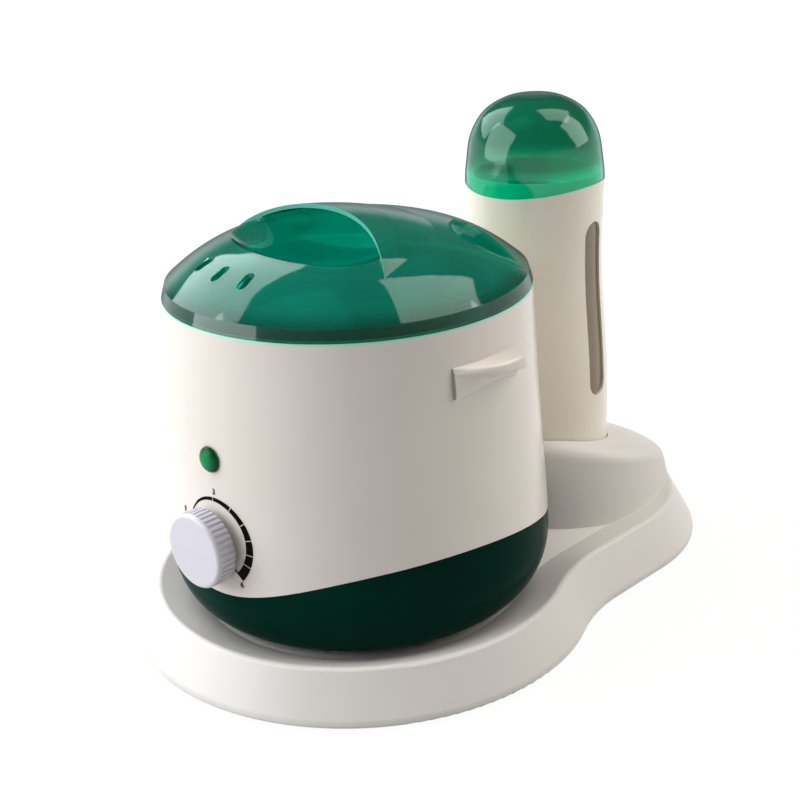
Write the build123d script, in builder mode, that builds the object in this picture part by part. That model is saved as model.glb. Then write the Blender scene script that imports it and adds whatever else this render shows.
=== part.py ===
from build123d import *
from math import atan, cos, degrees, radians, sin, sqrt, tan
import os

# Wax warmer: a pot with a translucent lid stands in a dished base, and a roll-on
# heater stands in a socket behind it. Millimetres, +Z up, the front is -Y.
# The origin is at the middle of the base, on the table.

os.makedirs("parts", exist_ok=True)

# Base: a round dish for the pot, with a narrower lobe behind it for the heater
dish_radius = 111
lobe_half_width = 93
lobe_corner = 84
base_length = 318
neck_radius = 90
skirt_z = 1.5
bulge_z = 4
rim_z = 24.4
rim_inset = 11
rim_width = 2
dish_floor_z = 16
dish_slope = 68
base_wall = 2.5
skirt_fillet = 1.2
bulge_fillet = 5
rim_fillet = 2

# Hill behind the pot, which holds the heater's socket
hill_offset = 151
hill_gap = 0.5
hill_taper = 13
hill_top_z = 49
hill_tilt = 15
hill_shoulder = 9

# Pot: half section from the belly to the rim, as radius and height
belly_radius = 90.6
belly_z = 46
pot_rim_radius = 84.5
pot_rim_z = 166
pot_flare = [(89.2, 75), (87.2, 107), (85.6, 137)]
foot_radius = 70.5
foot_z = 18
shell_wall = 2.5
rim_step = 1.8
shelf_radius = 74
shelf_outer = 80.5
shelf_thickness = 2.5

# Seam between the white shell and the green bowl, in side view from the front to the back
seam = [(-97, 37), (-86, 50.7), (-70, 59.7), (-48, 64.6), (-22, 66.2), (14, 63.3), (52, 55.3), (97, 41)]
seam_gap = 0.4
tongue_height = 3
tongue_gap = 0.15

# Wax pot, and the heated well it drops into
well_radius = 67
well_wall = 1.3
well_depth = 80
well_flange_radius = 79
wax_pot_gap = 1
wax_pot_depth = 76
wax_pot_wall = 1.5
wax_flange_radius = 77.5
wax_flange = 1.2
band_height = 50
band_thickness = 1.8
band_rise = 10

# Knob, thermostat and indicator on the front
knob_z = 69.7
knob_radius = 17.3
knob_face = 101.2
knob_back = 91.6
knob_cavity = 4.3
knob_cavity_radius = 14
knob_flutes = 40
flute_radius = 0.9
shaft_radius = 3
shaft_gap = 0.05
shaft_tip = 1.8
bush_radius = 5
bush_length = 3.4
pad_radius = 11.5
pad_face = 90.4
pad_depth = 7
thermostat_radius = 15
thermostat_depth = 14
nut_flats = 13
nut_thickness = 2.4
indicator_z = 109
lens_radius = 6
lens_rise = 3.2
lens_barrel = 4.6
lens_length = 6

# Side grips
grip_azimuth = 89
grip_top_z = 149.5
grip_height = 14
grip_thin = 5
grip_half_span = 20
grip_reach = 7.5
peg_radius = 2.4
peg_spacing = 18

# Lid: dome, skirt, and the hood with its finger scoop
lid_turn = -9.9
lid_wall = 2
crease_radius = 82.6
crease_z = 172.6
dome = [(74, 179.3), (60, 187.2), (38, 193.6)]
dome_top_z = 195.5
lip_radius = 110
lip_front = 3.5
hood = [(-60, 65, 206), (-4, 65, 202.3), (25, 60, 197), (50, 48, 188), (68, 30, 177)]
scoop_centre = (0, -20, 199)
scoop_size = (54, 32, 18)
vent_length = 9
vent_width = 5
vent_radius = 65
vent_step = 15.5
lid_flange = 1.2
lid_spigot = 1.3
lid_spigot_width = 2
spigot_gap = 0.4

# Roll-on heater: radius and height up its side, then the cap
heater_offset = 135.2
heater_turn = 8
heater_foot_z = 34
heater_foot_radius = 37.9
heater_side = [(37.9, 60), (37.4, 92), (36.2, 112), (34.9, 131), (34.3, 149), (34.6, 168), (35.4, 187), (36, 198)]
heater_wall = 2.2
saddle_low = 185.6
saddle_rise = 4.3
window_width = 14.5
window_low = 77.5
window_high = 170
window_inset = 1.2
window_thickness = 1.2
window_rebate = 3
cap_wall = 1.8
cap_side = [(35.4, 182), (35.3, 193), (34.5, 200), (32.8, 210.5), (29.2, 218.5), (24.2, 224.5), (15.5, 229.5)]
cap_top_z = 231.5
cap_gap = 0.35
cartridge_length = 50
cartridge_width = 34
liner_wall = 1.2
liner_depth = 112
liner_flange = 3
deck_drop = 4.5
deck_thickness = 2.5
collar_radius = 32.9
collar_wall = 1.8
collar_rise = 3
plate_size = (28, 3, 60)
limiter_radius = 7
limiter_height = 4.5

# Socket, contacts and cord glands
socket_gap = 0.6
socket_wall = 2.4
base_cap_height = 5
contact_radius = 1.6
contact_spacing = 9
contact_rise = 3
contact_gap = 0.3
gland_radius = 5
cord_radius = 3.2
gland_flange = 7.4
gland_flange_thickness = 2
gland_depth = 8
gland_out = 7
station_gland_z = 13
pot_gland_z = 34
pot_gland_azimuth = -145

# Feet, screws and the posts they drive into
foot_pad_radius = 9
foot_peg_radius = 3
pot_foot_radius = 7
pot_foot_circle = 52
screw_shank = 1.5
screw_head = 2.9
screw_head_height = 1.6
screw_length = 9
pilot_gap = 0.05
plate_thickness = 2.6
plate_inset = 10
boss_radius = 4.2
side_screw_inset = 15
side_screw_back = 87
back_foot_inset = 35
back_foot_back = 45
post_radius = 4.5
post_circle = 79
post_azimuths = (-135, -35, 35, 135)
post_top_z = 71
boss_height = 14
counterbore_z = 62

# Small parts inside the pot
fuse_radius = 3
fuse_length = 18
terminal_size = (30, 16, 11)
lamp_radius = 2.5
lamp_length = 10

# Places that follow from the sizes above
base_back = base_length / 2
pot_y = dish_radius - base_length / 2
heater_y = pot_y + heater_offset
hill_y = pot_y + hill_offset
hill_slope = tan(radians(hill_taper))
bowl_width = belly_radius - foot_radius
bowl_height = belly_z - foot_z
pot_section = Plane((0, pot_y, 0), x_dir=(1, 0, 0), z_dir=(0, -1, 0))
pot_axis = Axis((0, pot_y, 0), (0, 0, 1))
lid_place = Location((0, pot_y, 0), (0, 0, lid_turn))
lid_section = Plane(lid_place * Plane.XZ.location)
heater_place = Location((0, heater_y, 0), (0, 0, heater_turn))
heater_section = Plane(heater_place * Plane.XZ.location)
heater_axis = Axis((0, heater_y, 0), (0, 0, 1))
bowl_reach = foot_radius + sqrt(bowl_width**2 + (bowl_height * hill_slope) ** 2)
hill_radius = hill_offset - hill_gap - bowl_reach + (belly_z - dish_floor_z) * hill_slope
neck_y = base_back - lobe_corner - pot_y
neck_most = (neck_y**2 + lobe_half_width**2 - dish_radius**2) / (2 * (dish_radius - lobe_half_width))
ceiling_z = dish_floor_z - base_wall
plate_z = skirt_z + 0.5
plate_top_z = plate_z + plate_thickness
socket_radius = heater_foot_radius + socket_gap
socket_floor_z = heater_foot_z - base_wall
shelf_z = pot_rim_z - rim_step
well_top_z = shelf_z - shelf_thickness
well_floor_z = well_top_z - well_depth
wax_pot_radius = well_radius - wax_pot_gap
deck_z = saddle_low - deck_drop
pin_top_z = heater_foot_z + contact_rise
low = (Align.CENTER, Align.CENTER, Align.MIN)
high = (Align.CENTER, Align.CENTER, Align.MAX)


def around_pot(azimuth, radius, z):
    # Azimuth 0 is the front, and it grows towards +X
    return (radius * sin(radians(azimuth)), pot_y - radius * cos(radians(azimuth)), z)


def post(radius, length, mode=Mode.ADD):
    # A cylinder that stands on each location in use
    Cylinder(radius, length, align=low, mode=mode)


def screw(length):
    # A screw that stands on its head
    post(screw_head, screw_head_height)
    post(screw_shank, length)


def drawn_in(points, inset):
    # Points of a half section moved inwards, square to the line through their neighbours
    moved = []
    for i, (r, z) in enumerate(points):
        (r0, z0), (r1, z1) = points[max(i - 1, 0)], points[min(i + 1, len(points) - 1)]
        step = sqrt((r1 - r0) ** 2 + (z1 - z0) ** 2)
        moved.append((r - inset * (z1 - z0) / step, z + inset * (r1 - r0) / step))
    return moved


def base_outline(z, inset):
    with BuildSketch(Plane.XY.offset(z)) as outline:
        with Locations((0, pot_y)):
            Circle(dish_radius - inset)
        front = pot_y - 0.7 * dish_radius
        with Locations((0, (front + base_back) / 2)):
            RectangleRounded(
                2 * (lobe_half_width - inset), base_back - front - 2 * inset, lobe_corner - inset
            )
        neck = outline.vertices().filter_by(lambda v: pot_y + 1 < v.Y < pot_y + 0.8 * dish_radius)
        fillet(neck, min(neck_radius, 0.95 * neck_most) + inset)
    return outline.sketch


def hill(inset, low_z):
    # The hill's outside drawn in by inset, from low_z up
    spread = (dish_floor_z - low_z) * hill_slope
    top = Plane((0, hill_y, hill_top_z - inset), z_dir=(0, sin(radians(hill_tilt)), cos(radians(hill_tilt))))
    with BuildPart() as solid:
        with BuildSketch(Plane.XY.offset(low_z)):
            with Locations((0, hill_y)):
                Circle(hill_radius - inset + spread)
            add(base_outline(low_z, rim_inset - 1 + inset - spread), mode=Mode.INTERSECT)
        extrude(amount=hill_top_z + 20, taper=hill_taper)
        split(bisect_by=top, keep=Keep.BOTTOM)
        fillet(solid.faces().sort_by(Axis.Z)[-1].edges(), hill_shoulder - inset)
    return solid.part


def body_solid(inset):
    # The pot's outside, drawn in by inset
    with BuildPart() as solid:
        with BuildSketch(pot_section):
            with BuildLine():
                side = Spline(
                    (belly_radius - inset, belly_z),
                    *[(r - inset, z) for r, z in pot_flare],
                    (pot_rim_radius - inset, pot_rim_z),
                    tangents=[(0, 1), (-0.03, 1)],
                )
                bowl = EllipticalCenterArc(
                    (foot_radius, belly_z),
                    bowl_width - inset,
                    bowl_height - inset,
                    start_angle=270,
                    arc_size=90,
                )
                Polyline(side @ 1, (0, pot_rim_z), (0, foot_z + inset), bowl @ 0)
            make_face()
        revolve(axis=pot_axis)
    return solid.part


def below_seam(shift):
    # Everything under the seam, which is moved up by shift
    with BuildPart() as region:
        with BuildSketch(Plane.YZ):
            with BuildLine():
                curve = Spline(*[(pot_y + y, z + shift) for y, z in seam])
                Polyline(curve @ 1, (pot_y + seam[-1][0], 0), (pot_y + seam[0][0], 0), curve @ 0)
            make_face()
        extrude(amount=dish_radius, both=True)
    return region.part


def contact_places(z):
    return [heater_place * Location((x, 0, z)) for x in (-contact_spacing, 0, contact_spacing)]


# Base tray: the dish with its rolled rim, and the hill with the heater's socket
rim_taper = degrees(atan(rim_inset / (rim_z - bulge_z)))
dish_inset = rim_inset + rim_width + (rim_z - dish_floor_z) * tan(radians(dish_slope))
gland_pad_y = base_back - plate_inset
dish_screws = [around_pot(azimuth, dish_radius - 18, plate_z) for azimuth in (-100, -45, 45, 100)]
side_screw_x = lobe_half_width - side_screw_inset
side_screws = [(x, base_back - side_screw_back, plate_z) for x in (-side_screw_x, side_screw_x)]
back_screws = [(x, base_back - 17, plate_z) for x in (-30, 30)]
plate_screws = dish_screws + side_screws + back_screws
tray_hill = hill(0, dish_floor_z - 1)
tray_core = hill(base_wall, ceiling_z - 1)
with BuildPart() as socket_sleeve:
    with Locations((0, heater_y, socket_floor_z)):
        post(socket_radius + socket_wall, hill_top_z)
    add(tray_hill, mode=Mode.INTERSECT)
with BuildPart() as base_tray:
    add(base_outline(skirt_z, 0))
    extrude(amount=bulge_z - skirt_z)
    add(base_outline(bulge_z, 0))
    extrude(amount=rim_z - bulge_z, taper=rim_taper)
    bulge = base_tray.edges().filter_by_position(Axis.Z, bulge_z - 0.1, bulge_z + 0.1)
    fillet(bulge, bulge_fillet)
    fillet(base_tray.edges().group_by(Axis.Z)[0], skirt_fillet)
    add(base_outline(dish_floor_z, dish_inset))
    extrude(amount=rim_z - dish_floor_z, taper=-dish_slope, mode=Mode.SUBTRACT)
    fillet(base_tray.edges().group_by(Axis.Z)[-1], rim_fillet)
    add(tray_hill)
    # Underside: a recess for the cover plate, a low cavity, and the hill's hollow
    add(base_outline(skirt_z, plate_inset - 0.4))
    extrude(amount=plate_top_z - skirt_z, mode=Mode.SUBTRACT)
    add(base_outline(plate_z, plate_inset + 2))
    extrude(amount=ceiling_z - plate_z, mode=Mode.SUBTRACT)
    add(tray_core, mode=Mode.SUBTRACT)
    add(socket_sleeve.part)
    with Locations((0, heater_y, heater_foot_z)):
        post(socket_radius, hill_top_z, mode=Mode.SUBTRACT)
    with Locations(*[(x, y, plate_top_z) for x, y, z in dish_screws + side_screws]):
        post(boss_radius, dish_floor_z - plate_top_z)
    with Locations(*[(x, y, plate_top_z) for x, y, z in back_screws]):
        post(boss_radius, dish_floor_z)
    with Locations(*plate_screws):
        post(screw_shank + pilot_gap, screw_length, mode=Mode.SUBTRACT)
    with Locations(*contact_places(socket_floor_z - 1)):
        post(contact_radius + contact_gap, base_wall + 2, mode=Mode.SUBTRACT)
    with Locations(Location((0, gland_pad_y, station_gland_z), (-90, 0, 0))):
        post(gland_flange + 0.6, gland_depth, mode=Mode.SUBTRACT)
    with Locations(Location((0, gland_pad_y, station_gland_z), (90, 0, 0))):
        post(gland_flange + 1, gland_depth)
        post(gland_radius + pilot_gap, gland_depth + 1, mode=Mode.SUBTRACT)
base_tray.part.label = "base_tray"
export_step(base_tray.part, "parts/base_tray.step")

# Cover plate, screwed up into the tray, with rubber feet pegged into it
feet = [around_pot(azimuth, dish_radius - 25, 0) for azimuth in (-42, 42)]
back_foot_x = lobe_half_width - back_foot_inset
feet += [(x, base_back - back_foot_back, 0) for x in (-back_foot_x, back_foot_x)]
with BuildPart() as base_cover_plate:
    add(base_outline(plate_z, plate_inset))
    extrude(amount=plate_thickness)
    with Locations(*plate_screws):
        post(screw_head + 0.2, screw_head_height, mode=Mode.SUBTRACT)
        post(screw_shank + 0.2, plate_thickness, mode=Mode.SUBTRACT)
    with Locations(*feet):
        post(foot_peg_radius + pilot_gap, plate_top_z, mode=Mode.SUBTRACT)
base_cover_plate.part.label = "base_cover_plate"
export_step(base_cover_plate.part, "parts/base_cover_plate.step")

with BuildPart() as base_screws:
    with Locations(*plate_screws):
        screw(screw_length - 0.5)
base_screws.part.label = "base_screws"
export_step(base_screws.part, "parts/base_screws.step")

with BuildPart() as base_feet:
    with Locations(*feet):
        post(foot_pad_radius, plate_z)
        post(foot_peg_radius, plate_top_z)
base_feet.part.label = "base_feet"
export_step(base_feet.part, "parts/base_feet.step")

# Contacts under and through the socket's floor
with BuildPart() as dock_contact_block:
    with Locations(heater_place * Location((0, 0, socket_floor_z))):
        Box(2 * contact_spacing + 12, 14, 9, align=high)
    fillet(dock_contact_block.edges().filter_by(Axis.Z), 2)
    with Locations(*contact_places(socket_floor_z - 10)):
        post(contact_radius + shaft_gap, 12, mode=Mode.SUBTRACT)
dock_contact_block.part.label = "dock_contact_block"
export_step(dock_contact_block.part, "parts/dock_contact_block.step")

with BuildPart() as dock_contacts:
    with Locations(*contact_places(socket_floor_z - 12)):
        post(contact_radius, 12 + base_wall + contact_rise)
    fillet(dock_contacts.edges().filter_by(GeomType.CIRCLE).group_by(Axis.Z)[-1], 0.7)
dock_contacts.part.label = "dock_contacts"
export_step(dock_contacts.part, "parts/dock_contacts.step")


def gland_ring(plane):
    # Half section of a cord gland beside the normal of plane, which points out of the wall
    with BuildSketch(Plane(plane.origin, x_dir=plane.x_dir, z_dir=-plane.y_dir)) as section:
        with BuildLine():
            Polyline(
                (cord_radius, -gland_depth),
                (gland_radius, -gland_depth),
                (gland_radius, 0),
                (gland_flange, 0),
                (gland_flange, gland_flange_thickness),
                (gland_radius + 0.7, gland_flange_thickness),
                (gland_radius - 0.4, gland_out),
                (cord_radius, gland_out),
                close=True,
            )
        make_face()
    return section.sketch


# Cord glands: one at the back of the base, one on the pot
station_gland_plane = Plane((0, gland_pad_y, station_gland_z), x_dir=(1, 0, 0), z_dir=(0, 1, 0))
with BuildPart() as station_cord_gland:
    add(gland_ring(station_gland_plane))
    revolve(axis=Axis(station_gland_plane.origin, station_gland_plane.z_dir))
station_cord_gland.part.label = "station_cord_gland"
export_step(station_cord_gland.part, "parts/station_cord_gland.step")

pot_gland_out = Vector(sin(radians(pot_gland_azimuth)), -cos(radians(pot_gland_azimuth)), 0)
pot_gland_at = Vector(*around_pot(pot_gland_azimuth, belly_radius + 0.4, pot_gland_z))
pot_gland_plane = Plane(pot_gland_at, x_dir=(0, 0, 1), z_dir=pot_gland_out)
with BuildPart() as pot_cord_gland:
    add(gland_ring(pot_gland_plane))
    revolve(axis=Axis(pot_gland_at, pot_gland_out))
pot_cord_gland.part.label = "pot_cord_gland"
export_step(pot_cord_gland.part, "parts/pot_cord_gland.step")

# Side grips: each is drawn beside the pot, X outwards and Y backwards
right_grip = Location((0, pot_y, 0), (0, 0, grip_azimuth - 90))
grip_root = sqrt(pot_rim_radius**2 - grip_half_span**2)
grip_out = pot_rim_radius + grip_reach
grip_pegs = [(0, y, grip_top_z - grip_thin / 2) for y in (-peg_spacing / 2, peg_spacing / 2)]
outside = body_solid(0)
inside = body_solid(shell_wall)
with BuildPart() as side_grip_right:
    with BuildSketch(Plane(right_grip * Location((0, 0, grip_top_z - grip_height)))):
        with BuildLine():
            Polyline(
                (grip_out, grip_half_span * 0.62),
                (grip_out - 1, grip_half_span),
                (grip_root - 5, grip_half_span),
                (grip_root - 5, -grip_half_span),
                (grip_root + 1.4, -grip_half_span),
            )
            ThreePointArc(
                (grip_root + 1.4, -grip_half_span),
                (pot_rim_radius + grip_reach * 0.68, -2),
                (grip_out, grip_half_span * 0.62),
            )
        make_face()
    extrude(amount=grip_height)
    fillet(side_grip_right.edges().filter_by(Axis.Z).sort_by(SortBy.DISTANCE)[-1:], 1)
    # The finger recess under the ledge
    with BuildSketch(Plane(right_grip * Plane.YZ.offset(grip_root - 6).location)):
        with BuildLine():
            Polyline(
                (grip_half_span + 2, grip_top_z - grip_height - 1),
                (grip_half_span + 2, grip_top_z - grip_thin),
                (grip_half_span * 0.45, grip_top_z - grip_thin - 0.5),
                (-grip_half_span - 1, grip_top_z - grip_height + 0.5),
                (-grip_half_span - 1, grip_top_z - grip_height - 1),
                close=True,
            )
        make_face()
    extrude(amount=40, mode=Mode.SUBTRACT)
    fillet(side_grip_right.faces().sort_by(Axis.Z)[-1].edges(), 1.2)
    add(outside, mode=Mode.SUBTRACT)
    for x, y, z in grip_pegs:
        with Locations(right_grip * Location((pot_rim_radius - shell_wall, y, z), (0, 90, 0))):
            post(peg_radius, shell_wall + 3)
side_grip_right.part.label = "side_grip_right"
export_step(side_grip_right.part, "parts/side_grip_right.step")

with BuildPart() as side_grip_left:
    add(mirror(side_grip_right.part, about=Plane.YZ))
side_grip_left.part.label = "side_grip_left"
export_step(side_grip_left.part, "parts/side_grip_left.step")

# Pot body: a white shell above the seam, and a green bowl below it with an inner tongue
posts = [around_pot(azimuth, post_circle, 0) for azimuth in post_azimuths]
front_hole = Location((0, pot_y - pad_face, knob_z), (-90, 0, 0))
lamp_hole = Location((0, pot_y - pot_rim_radius - 4, indicator_z), (-90, 0, 0))
left_grip = Location((0, pot_y, 0), (0, 0, 270 - grip_azimuth))
tongue_space = below_seam(tongue_height + tongue_gap)
with BuildPart() as tongue:
    add(body_solid(shell_wall / 2 + tongue_gap / 2))
    add(inside, mode=Mode.SUBTRACT)
    add(below_seam(tongue_height), mode=Mode.INTERSECT)
with BuildPart() as rebate:
    add(body_solid(shell_wall / 2 - tongue_gap / 2))
    add(tongue_space, mode=Mode.INTERSECT)
with BuildPart() as pot_shell:
    add(outside)
    add(inside, mode=Mode.SUBTRACT)
    with Locations((0, pot_y, well_top_z)):
        post(pot_rim_radius - 1, rim_step + shelf_thickness)
        post(shelf_radius, shelf_thickness, mode=Mode.SUBTRACT)
    with Locations((0, pot_y, shelf_z)):
        post(shelf_outer, rim_step, mode=Mode.SUBTRACT)
    add(below_seam(seam_gap / 2), mode=Mode.SUBTRACT)
    add(rebate.part, mode=Mode.SUBTRACT)
    # Bosses for the bowl's screws, ribbed to the wall
    for azimuth in post_azimuths:
        x, y, z = around_pot(azimuth, post_circle, post_top_z)
        with Locations(Location((x, y, z), (0, 0, azimuth - 90))):
            post(post_radius, boss_height)
            Box(belly_radius - shell_wall - post_circle, 4, boss_height, align=(Align.MIN, Align.CENTER, Align.MIN))
            post(screw_shank + pilot_gap, boss_height - 3, mode=Mode.SUBTRACT)
    # Pad and hole for the thermostat's bush, the indicator's hole and the grips' holes
    with Locations(front_hole):
        post(pad_radius, pad_depth)
        post(bush_radius + pilot_gap, pad_depth, mode=Mode.SUBTRACT)
    with Locations(lamp_hole):
        post(lens_barrel + pilot_gap, 10, mode=Mode.SUBTRACT)
    for x, y, z in grip_pegs:
        with Locations(
            right_grip * Location((pot_rim_radius - 6, y, z), (0, 90, 0)),
            left_grip * Location((pot_rim_radius - 6, -y, z), (0, 90, 0)),
        ):
            post(peg_radius + pilot_gap, 12, mode=Mode.SUBTRACT)
pot_shell.part.label = "pot_shell"
export_step(pot_shell.part, "parts/pot_shell.step")

pot_feet_places = [around_pot(azimuth, pot_foot_circle, dish_floor_z) for azimuth in (-135, -45, 45, 135)]
with BuildPart() as bowl_posts:
    with Locations(*posts):
        post(post_radius, post_top_z)
    add(outside, mode=Mode.INTERSECT)
with BuildPart() as pot_base:
    add(outside)
    add(inside, mode=Mode.SUBTRACT)
    add(below_seam(-seam_gap / 2), mode=Mode.INTERSECT)
    add(tongue.part)
    add(bowl_posts.part)
    with Locations(Location(pot_gland_at, pot_gland_plane.location.orientation)):
        Cylinder(gland_flange + 1, gland_depth, align=high)
    with Locations(*posts):
        post(screw_head + 0.3, counterbore_z, mode=Mode.SUBTRACT)
        post(screw_shank + 0.2, post_top_z, mode=Mode.SUBTRACT)
    with Locations(Location(pot_gland_at, pot_gland_plane.location.orientation)):
        Cylinder(gland_radius + pilot_gap, gland_depth, align=high, mode=Mode.SUBTRACT)
    with Locations(*pot_feet_places):
        post(foot_peg_radius + pilot_gap, foot_z + shell_wall - dish_floor_z, mode=Mode.SUBTRACT)
pot_base.part.label = "pot_base"
export_step(pot_base.part, "parts/pot_base.step")

with BuildPart() as pot_base_screws:
    with Locations(*[(x, y, counterbore_z - screw_head_height) for x, y, z in posts]):
        screw(post_top_z + boss_height - counterbore_z - 3)
pot_base_screws.part.label = "pot_base_screws"
export_step(pot_base_screws.part, "parts/pot_base_screws.step")

with BuildPart() as pot_feet:
    with Locations(*pot_feet_places):
        post(pot_foot_radius, foot_z - dish_floor_z)
        post(foot_peg_radius, foot_z + shell_wall - dish_floor_z)
pot_feet.part.label = "pot_feet"
export_step(pot_feet.part, "parts/pot_feet.step")

# Heated well under the shelf, with its band heater and thermal fuse
with BuildPart() as heating_well:
    with BuildSketch(pot_section):
        with BuildLine():
            Polyline(
                (0, well_floor_z - well_wall),
                (well_radius + well_wall, well_floor_z - well_wall),
                (well_radius + well_wall, well_top_z - well_wall),
                (well_flange_radius, well_top_z - well_wall),
                (well_flange_radius, well_top_z),
                (well_radius, well_top_z),
                (well_radius, well_floor_z),
                (0, well_floor_z),
                close=True,
            )
        make_face()
    revolve(axis=pot_axis)
heating_well.part.label = "heating_well"
export_step(heating_well.part, "parts/heating_well.step")

band_inner = well_radius + well_wall + pilot_gap
with BuildPart() as heater_band:
    with Locations((0, pot_y, well_floor_z + band_rise)):
        post(band_inner + band_thickness, band_height)
        post(band_inner, band_height, mode=Mode.SUBTRACT)
    with Locations(Location(around_pot(90, band_inner + 2, well_floor_z + band_rise + band_height / 2))):
        Box(6, 16, 10)
    with Locations((0, pot_y, well_floor_z)):
        post(band_inner, well_depth, mode=Mode.SUBTRACT)
heater_band.part.label = "heater_band"
export_step(heater_band.part, "parts/heater_band.step")

fuse_z = well_floor_z - well_wall - fuse_radius - 1
with BuildPart() as thermal_fuse:
    with Locations(Location((0, pot_y + 20, fuse_z), (0, 90, 0))):
        Cylinder(fuse_radius, fuse_length)
        Cylinder(0.6, fuse_length + 24)
    with Locations((0, pot_y + 20, fuse_z)):
        Box(8, 20, fuse_radius + 1, align=low)
thermal_fuse.part.label = "thermal_fuse"
export_step(thermal_fuse.part, "parts/thermal_fuse.step")

# Terminal block on the bowl's floor
with BuildPart() as terminal_block:
    with Locations((0, pot_y + 40, foot_z + shell_wall)):
        Box(*terminal_size, align=low)
    with Locations(Location((0, pot_y + 40, foot_z + shell_wall + terminal_size[2]))):
        with GridLocations(9, 9, 3, 2):
            Cylinder(1.8, 10, mode=Mode.SUBTRACT)
terminal_block.part.label = "terminal_block"
export_step(terminal_block.part, "parts/terminal_block.step")

# Thermostat behind the pad, its nut, and the shaft that the knob turns
thermostat_y = pot_y - pad_face + pad_depth
with BuildPart() as thermostat_body:
    with Locations(Location((0, thermostat_y, knob_z), (-90, 0, 0))):
        post(thermostat_radius, thermostat_depth)
    with Locations(Location((0, thermostat_y, knob_z), (90, 0, 0))):
        post(bush_radius, pad_depth + bush_length)
    with Locations(Location((0, thermostat_y + thermostat_depth, knob_z))):
        with Locations((-8, 2.5, 0), (8, 2.5, 0)):
            Box(4, 5, 1)
    with Locations(Location((0, thermostat_y + thermostat_depth - 2, knob_z), (90, 0, 0))):
        post(shaft_radius + shaft_gap, 2 * pad_depth + thermostat_depth, mode=Mode.SUBTRACT)
thermostat_body.part.label = "thermostat_body"
export_step(thermostat_body.part, "parts/thermostat_body.step")

with BuildPart() as thermostat_nut:
    with BuildSketch(Plane((0, pot_y - pad_face, knob_z), x_dir=(1, 0, 0), z_dir=(0, -1, 0))):
        RegularPolygon(nut_flats / 2, 6, major_radius=False)
        Circle(bush_radius + pilot_gap, mode=Mode.SUBTRACT)
    extrude(amount=nut_thickness)
thermostat_nut.part.label = "thermostat_nut"
export_step(thermostat_nut.part, "parts/thermostat_nut.step")

shaft_end = thermostat_y + thermostat_depth - 2.5
with BuildPart() as thermostat_shaft:
    with Locations(Location((0, shaft_end, knob_z), (90, 0, 0))):
        post(shaft_radius, shaft_end - pot_y + knob_face - shaft_tip - shaft_gap)
thermostat_shaft.part.label = "thermostat_shaft"
export_step(thermostat_shaft.part, "parts/thermostat_shaft.step")

# Knob: a smooth face and a fluted side
knob_plane = Plane((0, pot_y - knob_back, knob_z), x_dir=(1, 0, 0), z_dir=(0, -1, 0))
knob_depth = knob_face - knob_back
with BuildPart() as control_knob:
    with BuildSketch(knob_plane):
        Circle(knob_radius)
    extrude(amount=knob_depth)
    fillet(control_knob.faces().sort_by(Axis.Y)[0].edges(), 1.8)
    with BuildSketch(knob_plane):
        with PolarLocations(knob_radius + 0.35, knob_flutes):
            Circle(flute_radius)
    extrude(amount=knob_depth - 2, mode=Mode.SUBTRACT)
    with BuildSketch(knob_plane):
        Circle(knob_cavity_radius)
    extrude(amount=knob_cavity, mode=Mode.SUBTRACT)
    with BuildSketch(knob_plane):
        Circle(shaft_radius + shaft_gap)
    extrude(amount=knob_depth - shaft_tip, mode=Mode.SUBTRACT)
control_knob.part.label = "control_knob"
export_step(control_knob.part, "parts/control_knob.step")

# Indicator: a domed lens clipped into the shell, and the lamp behind it
lens_y = pot_y - pot_rim_radius - 2.9
with BuildPart() as indicator_lens:
    with BuildSketch(Plane((0, lens_y, indicator_z), x_dir=(1, 0, 0), z_dir=(0, 0, 1))):
        with BuildLine():
            dome_arc = EllipticalCenterArc((0, 0), lens_radius, lens_rise, start_angle=270, arc_size=90)
            Polyline(dome_arc @ 1, (lens_barrel, 0), (lens_barrel, lens_length), (0, lens_length), dome_arc @ 0)
        make_face()
    revolve(axis=Axis((0, lens_y, indicator_z), (0, 1, 0)))
indicator_lens.part.label = "indicator_lens"
export_step(indicator_lens.part, "parts/indicator_lens.step")

with BuildPart() as indicator_lamp:
    with Locations(Location((0, lens_y + lens_length, indicator_z), (-90, 0, 0))):
        post(lamp_radius, lamp_length)
    with Locations(Location((0, lens_y + lens_length + 1.5, indicator_z), (-90, 0, 0))):
        post(lamp_radius + 1.2, 3)
indicator_lamp.part.label = "indicator_lamp"
export_step(indicator_lamp.part, "parts/indicator_lamp.step")

# Wax pot, which hangs by its flange on the shelf and has two turned-up lifting ears
wax_floor_z = shelf_z - wax_pot_depth
with BuildPart() as wax_pot:
    with BuildSketch(pot_section):
        with BuildLine():
            Polyline(
                (0, wax_floor_z),
                (wax_pot_radius, wax_floor_z),
                (wax_pot_radius, shelf_z),
                (wax_flange_radius, shelf_z),
                (wax_flange_radius, shelf_z + wax_flange),
                (wax_pot_radius - wax_pot_wall, shelf_z + wax_flange),
                (wax_pot_radius - wax_pot_wall, wax_floor_z + wax_pot_wall),
                (0, wax_floor_z + wax_pot_wall),
                close=True,
            )
        make_face()
    revolve(axis=pot_axis)
    fillet(wax_pot.edges().filter_by(GeomType.CIRCLE).group_by(Axis.Z)[0], 4)
    for side in (-1, 1):
        with Locations((side * (wax_flange_radius - 4), pot_y, shelf_z)):
            Box(1.2, 22, 10, align=low)
wax_pot.part.label = "wax_pot"
export_step(wax_pot.part, "parts/wax_pot.step")


def lid_plane(y):
    # Upright plane across the lid, at y behind its middle
    return Plane(lid_place * Location((0, y, 0), (90, 0, 0)))


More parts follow.
